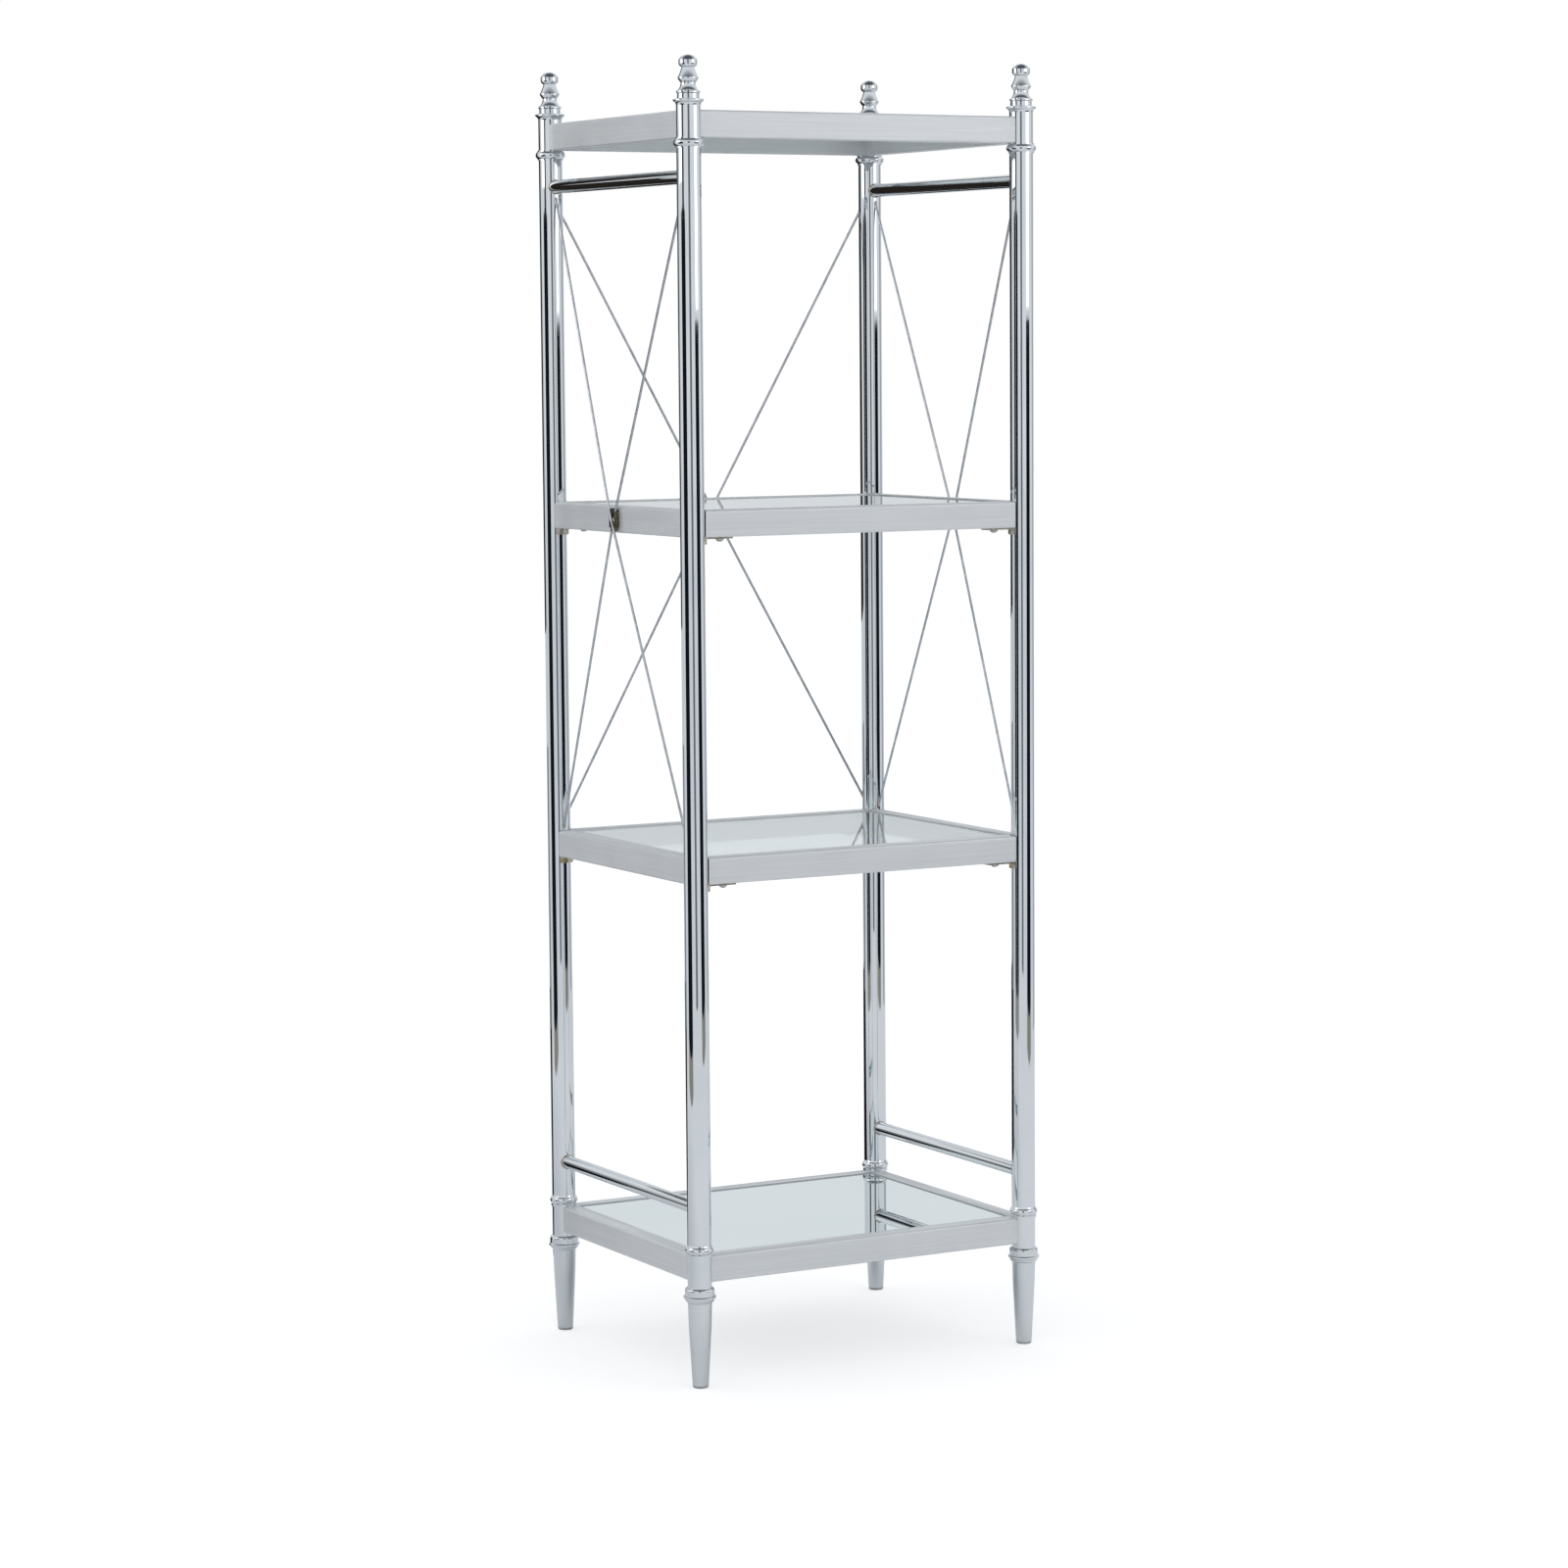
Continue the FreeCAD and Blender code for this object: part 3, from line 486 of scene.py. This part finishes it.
# %% Weld beads where the side rails meet the posts
POST_R = (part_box("post_front_left")[1].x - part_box("post_front_left")[0].x) / 2
RAIL_BEAD_R = 0.9 * MM
RAIL_BEAD_STEPS = 72
RAIL_BEAD_RIPPLES = 18
for side in ("left", "right"):
    rail_beads = ([], [])
    for level in ("top", "low"):
        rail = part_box(f"{side}_{level}_rail")
        rail_r = (rail[1].z - rail[0].z) / 2
        for corner, inward in (("front", 1), ("back", -1)):
            post = middle(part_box(f"post_{corner}_{side}"))
            line = []
            for turn in around_ring(RAIL_BEAD_STEPS):
                off = rail_r * math.cos(turn)
                reach = math.sqrt(POST_R ** 2 - off ** 2)
                line.append(Vector((
                    post.x + off,
                    post.y + inward * reach,
                    middle(rail).z + rail_r * math.sin(turn),
                )))
            add_bead(rail_beads, line, RAIL_BEAD_R, RAIL_BEAD_RIPPLES)
    new_piece(f"{side}_rail_welds", rail_beads, weld_metal)
    print(side, "rail welds:", len(rail_beads[1]), "faces")

# %% [markdown]
# The brace rods are welded to the posts too. A rod meets its post at a slant, so its joint line
# is a long oval. To find it we take the circle round the rod's axis and slide each of its
# points along the rod until it lies on the post's surface.

# %% Where a rod meets its post
ROD_R = 1.5 * MM
# How deep a rod's axis runs into its post, how far its ends lie above and below the crossing,
# and how far round the post they end.
ROD_SINK = 2.5 * MM
ROD_RISE = {"left": 380 * MM, "right": 380 * MM, "back": 368 * MM}
ROD_SWING = {"left": 0.0, "right": 0.0, "back": math.radians(25)}
ROD_BEAD_R = 0.6 * MM
ROD_BEAD_STEPS = 40
ROD_BEAD_RIPPLES = 9
UP = Vector((0, 0, 1))
OUTWARD = {"left": Vector((-1, 0, 0)), "right": Vector((1, 0, 0)), "back": Vector((0, 1, 0))}
corner_post = middle(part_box("post_back_right"))
HALF_SPAN = {"left": corner_post.y, "right": corner_post.y, "back": corner_post.x}


def joint_line(start, end, post):
    """The oval in which a rod's surface, from start to end, meets a post."""
    way = (end - start).normalized()
    first = way.orthogonal().normalized()
    second = way.cross(first)
    line = []
    for turn in around_ring(ROD_BEAD_STEPS):
        spot = end + (first * math.cos(turn) + second * math.sin(turn)) * ROD_R
        a = way.x ** 2 + way.y ** 2
        b = (spot.x - post.x) * way.x + (spot.y - post.y) * way.y
        c = (spot.x - post.x) ** 2 + (spot.y - post.y) ** 2 - POST_R ** 2
        line.append(spot + way * ((-b - math.sqrt(b * b - a * c)) / a))
    return line


print("the back right post stands at", [round(v, 3) for v in corner_post.xy], "m")

# %% [markdown]
# Each side has two rods that cross in the middle, so it has four ends. The rods bow outward to
# the crossing, and the box of the solid tells how far. The back rods end a little round the
# post, which the swing angle gives.

# %% Weld beads at the rods' ends
for side, outward in OUTWARD.items():
    along = UP.cross(outward)
    depth = corner_post.y if side == "back" else corner_post.x
    reach = POST_R - ROD_SINK
    end_along = HALF_SPAN[side] - reach * math.cos(ROD_SWING[side])
    end_out = depth + reach * math.sin(ROD_SWING[side])
    rod_beads = ([], [])
    for name, lean in (("inner", 1), ("outer", -1)):
        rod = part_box(f"{side}_brace_{name}")
        bow = max(abs(rod[0].dot(outward)), abs(rod[1].dot(outward))) - ROD_R
        crossing = outward * bow + UP * middle(rod).z
        for up in (1, -1):
            end_z = middle(rod).z + ROD_RISE[side] * up
            end = along * end_along * lean * up + outward * end_out + UP * end_z
            post = along * HALF_SPAN[side] * lean * up + outward * depth
            add_bead(rod_beads, joint_line(crossing, end, post), ROD_BEAD_R, ROD_BEAD_RIPPLES)
    new_piece(f"{side}_brace_welds", rod_beads, weld_metal)
    print(side, "brace welds:", len(rod_beads[1]), "faces")

# %% [markdown]
# The shelf frames and the bosses are held by button-head screws with a hexagon socket, the kind
# that comes with flat-packed furniture. One turned outline makes the shank and the domed head;
# the last rings change from a circle to a hexagon and sink into the head as the socket.

# %% The outline of a button-head screw
SCREW_STEPS = 36
# Shares of the shank's radius and length at its chamfered tip.
TIP_R, TIP_CHAMFER_AT = 0.8, 0.94
# The head's rim, as shares of its radius and height, and the angles up its dome in radians.
RIM_R, RIM_RISE = 0.96, 0.08
DOME_TURNS = (0.25, 0.55, 0.85, 1.1)
# The socket's share of the head's radius, its flared mouth, and its depth as a share of the height.
SOCKET_SHARE = 0.46
MOUTH_FLARE, MOUTH_TOP, MOUTH_FOOT = 1.06, 0.95, 0.9
SOCKET_DEPTH = 0.55


def hexagon(turn, radius):
    """Distance from the middle to a hexagon's side in a given direction."""
    corner = math.pi / 3
    return radius * math.cos(corner / 2) / math.cos(turn % corner - corner / 2)


def screw_rings(head_r, head_tall, shank_r, shank_long):
    """The screw's outline from tip to socket floor, as (radius, height, six-sided or not)."""
    socket_r = head_r * SOCKET_SHARE
    dome = [(head_r * math.cos(t), head_tall * math.sin(t), False) for t in DOME_TURNS]
    return [
        (shank_r * TIP_R, -shank_long, False),
        (shank_r, -shank_long * TIP_CHAMFER_AT, False),
        (shank_r, 0, False),
        (head_r * RIM_R, 0, False),
        (head_r, head_tall * RIM_RISE, False),
        *dome,
        (socket_r * MOUTH_FLARE, head_tall * MOUTH_TOP, True),
        (socket_r, head_tall * MOUTH_FOOT, True),
        (socket_r, head_tall * (1 - SOCKET_DEPTH), True),
    ]


def add_screw(mesh_data, seat, outward, rings):
    """Adds one screw that sits on a seat, its head toward outward, to (points, faces)."""
    points, faces = mesh_data
    first = outward.orthogonal().normalized()
    second = outward.cross(first)
    start = len(points)
    for radius, height, six_sided in rings:
        for turn in around_ring(SCREW_STEPS):
            size = hexagon(turn, radius) if six_sided else radius
            ring_spot = (first * math.cos(turn) + second * math.sin(turn)) * size
            points.append(seat + ring_spot + outward * height)
    for ring in range(len(rings) - 1):
        here = start + ring * SCREW_STEPS
        there = here + SCREW_STEPS
        for k in range(SCREW_STEPS):
            across = (k + 1) % SCREW_STEPS
            faces.append((here + k, here + across, there + across, there + k))
    faces.append(tuple(reversed(range(start, start + SCREW_STEPS))))
    faces.append(tuple(range(len(points) - SCREW_STEPS, len(points))))


print("a screw has", SCREW_STEPS, "steps round and a socket", SOCKET_SHARE, "of its head wide")

# %% [markdown]
# The solids have plain screws in the same places. Their boxes give us the seats, and each set
# of new screws replaces the plain set, so nothing is drawn twice.

# %% Button-head screws under the shelves and on the bosses
SHELF_HEAD_R, SHELF_HEAD_TALL, SHELF_SHANK_R = 5 * MM, 3.6 * MM, 2.5 * MM
for level in ("upper", "lower"):
    low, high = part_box(f"{level}_shelf_screws")
    shelf_screws = ([], [])
    seat_z = low.z + SHELF_HEAD_TALL
    rings = screw_rings(SHELF_HEAD_R, SHELF_HEAD_TALL, SHELF_SHANK_R, high.z - seat_z)
    for x in (low.x + SHELF_HEAD_R, high.x - SHELF_HEAD_R):
        for y in (low.y + SHELF_HEAD_R, high.y - SHELF_HEAD_R):
            add_screw(shelf_screws, Vector((x, y, seat_z)), -UP, rings)
    name = f"{level}_shelf_button_screws"
    piece = new_piece(name, shelf_screws, finishes["screw_steel"])
    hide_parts(f"{level}_shelf_screws")
    print(level, "shelf screws:", len(shelf_screws[1]), "faces")

CLIP_HEAD_TALL, CLIP_SHANK_R = 1.4 * MM, 1.25 * MM
for side, outward in OUTWARD.items():
    low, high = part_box(f"{side}_clip_screws")
    along = UP.cross(outward)
    head_r = (high.z - low.z) / 2
    reach = max(abs(low.dot(outward)), abs(high.dot(outward)))
    shank_end = min(abs(low.dot(outward)), abs(high.dot(outward)))
    spread = abs((high - low).dot(along)) / 2 - head_r
    shank_long = reach - CLIP_HEAD_TALL - shank_end
    rings = screw_rings(head_r, CLIP_HEAD_TALL, CLIP_SHANK_R, shank_long)
    clip_screws = ([], [])
    for end in (-1, 1):
        seat = outward * (reach - CLIP_HEAD_TALL) + along * spread * end
        seat.z = middle((low, high)).z
        add_screw(clip_screws, seat, outward, rings)
    name = f"{side}_clip_button_screws"
    piece = new_piece(name, clip_screws, finishes["screw_steel"])
    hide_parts(f"{side}_clip_screws")
    print(side, "boss screws:", len(clip_screws[1]), "faces")

# %% [markdown]
# The unit stands on a white paper floor. The camera should see it as plain white, with only the
# soft shadow under the feet, so for camera rays the floor mixes a little paint with a glow.
# Everything else sees pale paint with a wide, soft shade to the left of the unit, which greys
# the frame rails on that side. Reflections see only part of that shade, so that the feet stay
# bright.

# %% Studio: floor
SHADE_AT = Vector((-0.9, 0.35, 0))
SHADE_R = 1.3
SHADE_IN_REFLECTIONS = 0.35
FLOOR_HALF = 30.0


def stage_piece(name, corners, material):
    """A flat stage piece with the given corners."""
    mesh = bpy.data.meshes.new(name)
    mesh.from_pydata(corners, [], [tuple(range(len(corners)))])
    mesh.materials.append(material)
    made = bpy.data.objects.new(name, mesh)
    scene.collection.objects.link(made)
    return made


def white_paper():
    material, tree = new_material("floor_white_paper")
    place = add(tree, "ShaderNodeTexCoord")
    from_shade = add(tree, "ShaderNodeMapping", inputs={
        "Vector": (place, "Object"),
        "Location": -SHADE_AT / SHADE_R,
        "Scale": Vector((1, 1, 1)) / SHADE_R,
    })
    shade = add(tree, "ShaderNodeTexGradient", {"gradient_type": "SPHERICAL"}, {
        "Vector": (from_shade, "Vector"),
    })
    ray = add(tree, "ShaderNodeLightPath")
    share = add(tree, "ShaderNodeMapRange", inputs={
        "Value": (ray, "Is Glossy Ray"),
        "To Min": 1.0,
        "To Max": SHADE_IN_REFLECTIONS,
    })
    shaded = add(tree, "ShaderNodeMath", {"operation": "MULTIPLY"}, {
        0: (shade, "Fac"),
        1: (share, "Result"),
    })
    colour = add(tree, "ShaderNodeMix", {"data_type": "RGBA"}, {
        "Factor": (shaded, "Value"),
        COLOUR_A: linear("#F3F4F5"),
        COLOUR_B: linear("#8C9094"),
    })
    paint = add(tree, "ShaderNodeBsdfDiffuse", inputs={"Color": (colour, "Result")})
    half_paint = add(tree, "ShaderNodeBsdfDiffuse", inputs={"Color": linear("#B9B9B9")})
    glow = add(tree, "ShaderNodeEmission", inputs={"Color": linear("#FFFFFF"), "Strength": 0.6})
    lifted = add(tree, "ShaderNodeAddShader", inputs={
        0: (half_paint, "BSDF"),
        1: (glow, "Emission"),
    })
    shown = add(tree, "ShaderNodeMixShader", inputs={
        "Fac": (ray, "Is Camera Ray"),
        1: (paint, "BSDF"),
        2: (lifted, "Shader"),
    })
    add(tree, "ShaderNodeOutputMaterial", inputs={"Surface": (shown, "Shader")})
    return material


stage_piece("floor", [
    (-FLOOR_HALF, -FLOOR_HALF, 0),
    (FLOOR_HALF, -FLOOR_HALF, 0),
    (FLOOR_HALF, FLOOR_HALF, 0),
    (-FLOOR_HALF, FLOOR_HALF, 0),
], white_paper())
print("the floor is", 2 * FLOOR_HALF, "m wide")

# %% [markdown]
# The room round it is plain too: pure white for the camera and a slightly blue white for the
# light. In reflections it turns dark grey overhead, which gives the finials and collars their
# dark tops.

# %% Studio: white room
# The room darkens between these heights of a direction, where 1 is straight up.
OVERHEAD_FROM, OVERHEAD_TO = 0.6, 0.9
world = bpy.data.worlds.new("white_studio")
world.use_nodes = True
room = world.node_tree
room.nodes.clear()
room_ray = add(room, "ShaderNodeLightPath")
direction = add(room, "ShaderNodeTexCoord")
upward = add(room, "ShaderNodeSeparateXYZ", inputs={"Vector": (direction, "Generated")})
overhead = add(room, "ShaderNodeMapRange", inputs={
    "Value": (upward, "Z"),
    "From Min": OVERHEAD_FROM,
    "From Max": OVERHEAD_TO,
    "To Min": 0.0,
    "To Max": 1.0,
})
mirrored = add(room, "ShaderNodeMath", {"operation": "MULTIPLY"}, {
    0: (overhead, "Result"),
    1: (room_ray, "Is Glossy Ray"),
})
walls = add(room, "ShaderNodeMix", {"data_type": "RGBA"}, {
    "Factor": (mirrored, "Value"),
    COLOUR_A: linear("#F2F4F6"),
    COLOUR_B: linear("#5A6067"),
})
room_colour = add(room, "ShaderNodeMix", {"data_type": "RGBA"}, {
    "Factor": (room_ray, "Is Camera Ray"),
    COLOUR_A: (walls, "Result"),
    COLOUR_B: linear("#FFFFFF"),
})
sky = add(room, "ShaderNodeBackground", inputs={"Color": (room_colour, "Result"), "Strength": 1.0})
add(room, "ShaderNodeOutputWorld", inputs={"Surface": (sky, "Background")})
scene.world = world
print("room ready:", world.name)

# %% [markdown]
# Chrome has hardly any colour of its own: what it shows is the room. So we stand cards round
# the unit, as a photographer does. Each card glows with its own grey, shows only in
# reflections, and only from the side that faces the unit, so it hides nothing from any view
# and throws no shadow. A card's place is given by its bearing from the camera's side.

# %% Studio: helpers for the cards
CARD_LIFT = 2 * MM
camera_bearing = Vector((toward_camera.x, toward_camera.y, 0)).normalized()
camera_right = Vector((-camera_bearing.y, camera_bearing.x, 0))
cards = []


def around(degrees, distance, height):
    """A point at a bearing from the camera's side, positive to the right in the picture."""
    turn = math.radians(degrees)
    flat = camera_bearing * math.cos(turn) + camera_right * math.sin(turn)
    return flat * distance + UP * height


def card(name, corners, colour):
    """A glowing stage card that only reflections see, and only from the back of its face."""
    material, tree = new_material(name)
    glow = add(tree, "ShaderNodeEmission", inputs={"Color": linear(colour), "Strength": 1.0})
    away = add(tree, "ShaderNodeBsdfTransparent")
    side = add(tree, "ShaderNodeNewGeometry")
    shown = add(tree, "ShaderNodeMixShader", inputs={
        "Fac": (side, "Backfacing"),
        1: (away, "BSDF"),
        2: (glow, "Emission"),
    })
    add(tree, "ShaderNodeOutputMaterial", inputs={"Surface": (shown, "Shader")})
    made = stage_piece(name, corners, material)
    made.visible_camera = False
    made.visible_diffuse = False
    made.visible_shadow = False
    made.visible_transmission = False
    cards.append(made)
    return made


def upright(name, bearing, half_angle, distance, low, high, colour):
    """A card that stands square to the unit."""
    left, right = bearing - half_angle, bearing + half_angle
    return card(name, [
        around(left, distance, low),
        around(right, distance, low),
        around(right, distance, high),
        around(left, distance, high),
    ], colour)


def on_floor(name, bearing, half_angle, near, far, colour):
    """A card that lies just over the floor, between two distances."""
    left, right = bearing - half_angle, bearing + half_angle
    return card(name, [
        around(left, near, CARD_LIFT),
        around(right, near, CARD_LIFT),
        around(right, far, CARD_LIFT),
        around(left, far, CARD_LIFT),
    ], colour)


print("the camera's side is", [round(v, 3) for v in camera_bearing])

# %% [markdown]
# Two dark flags stand far off, to the left and right of the camera, and dark strips of floor
# lead up to them. They draw the two dark stripes down each post. The strips end short of the
# unit in a warm grey border, which shows where the stripes end, low on the posts. Over the left
# flag stands a narrower grey one, for the top of its stripe. A grey card straight before the
# camera draws the faint middle stripe.

# %% Studio: flags on the camera's side
FLAG_FAR = 9.0
FLAG_BLACK = "#141920"
LEFT_FLAG_TOP, RIGHT_FLAG_TOP = 1.61, 1.27
for side, bearing, half_angle, top, border_near, border_far in (
    ("left", -60, 20.5, LEFT_FLAG_TOP, 2.25, 2.75),
    ("right", 60, 18.5, RIGHT_FLAG_TOP, 2.45, 3.0),
):
    upright(f"dark_flag_{side}", bearing, half_angle, FLAG_FAR, 0.0, top, FLAG_BLACK)
    on_floor(f"dark_floor_{side}", bearing, half_angle, border_far, FLAG_FAR, FLAG_BLACK)
    on_floor(f"warm_floor_{side}", bearing, half_angle, border_near, border_far, "#97938A")
upright("grey_flag_left", -57, 9, FLAG_FAR, LEFT_FLAG_TOP, high=2.6, colour="#41464D")
upright("camera_side_grey", 0, 8, distance=3.2, low=0.0, high=2.4, colour="#6F767E")
print(len(cards), "cards on the camera's side")

# %% [markdown]
# Grey walls further round darken the edges of the posts, and a dark strip of floor behind the
# unit darkens the side rails. A pale backdrop greys the glass: it is the one card that also
# shows through the panes.

# %% Studio: walls and backdrop
WALL_FAR = 2.7
WALL_TOP = 2.2
LEFT_FOOT_TOP = 0.5
upright("grey_wall_left", -114, 8, WALL_FAR, LEFT_FOOT_TOP, WALL_TOP, "#DADCDE")
upright("grey_wall_left_foot", -123, 13, WALL_FAR, 0.0, LEFT_FOOT_TOP, "#84888D")
upright("grey_wall_right", 123, 13, WALL_FAR, 0.0, WALL_TOP, "#B0B5BC")
backdrop = upright("pale_backdrop", 180, 40, distance=4.0, low=0.0, high=2.3, colour="#E3E7EB")
backdrop.visible_transmission = True
on_floor("dark_floor_behind", -151, 39, near=0.75, far=3.9, colour="#15171A")
print(len(cards), "cards with those behind")

# %% [markdown]
# In the photograph the side rails are dark, and what they mirror lies behind and above the
# unit. So a slope rises there, away from the unit: nearly black close by, and grey to the right
# and far off. The base mirror sees its plane almost edge on, so that mirror stays bright.

# %% Studio: dark slope behind
SLOPE_FOOT, SLOPE_RISE = 0.20, 0.60
SLOPE_GREY = "#4E5053"
MIDWAY, MIDWAY_LEFT, MIDWAY_SEAM, MIDWAY_RIGHT = 6.0, -3.58, 1.6, 2.2


def on_slope(name, near_end, far_end, colour):
    """A card on the slope. Each end is how far behind it lies, then its left and right x."""
    near, near_left, near_right = near_end
    far, far_left, far_right = far_end
    return card(name, [
        (x, y, SLOPE_FOOT + SLOPE_RISE * y)
        for x, y in ((near_left, near), (far_left, far), (far_right, far), (near_right, near))
    ], colour)


on_slope("dark_slope_near", (1.0, -0.78, 0.35), (MIDWAY, MIDWAY_LEFT, MIDWAY_SEAM), "#2A2622")
on_slope("grey_slope_right", (1.9, 0.575, 1.15), (MIDWAY, MIDWAY_SEAM, MIDWAY_RIGHT), SLOPE_GREY)
far_edge = (16.0, MIDWAY_LEFT, 2.65)
on_slope("grey_slope_far", (MIDWAY, MIDWAY_LEFT, MIDWAY_RIGHT), far_edge, SLOPE_GREY)
print(len(cards), "cards in all")

# %% [markdown]
# Two soft boxes light the unit from the left and right of the camera, higher than the dark
# flags. Their faces show as the bright caps near the top of each post. Their power grows with
# the area of their faces, so that these stay near the brightness of white paper.

# %% Studio: soft boxes
SOFT_BOX_WIDE, SOFT_BOX_TALL = 1.2, 1.0
SOFT_BOX_DISTANCE = 2.55
for name, bearing, lowest, radiance in (("left", -78, 1.47, 1.7), ("right", 60, 1.26, 1.15)):
    lamp = bpy.data.lights.new(f"soft_box_{name}", "AREA")
    lamp.shape = "RECTANGLE"
    lamp.size = SOFT_BOX_WIDE
    lamp.size_y = SOFT_BOX_TALL
    lamp.energy = radiance * math.pi * SOFT_BOX_WIDE * SOFT_BOX_TALL
    box = bpy.data.objects.new(lamp.name, lamp)
    scene.collection.objects.link(box)
    box.location = around(bearing, SOFT_BOX_DISTANCE, lowest + SOFT_BOX_TALL / 2)
    box.rotation_mode = "QUATERNION"
    box.rotation_quaternion = Vector((box.location.x, box.location.y, 0)).to_track_quat("Z", "Y")
    box.visible_camera = False
    print(lamp.name, "has", round(lamp.energy, 2), "W")
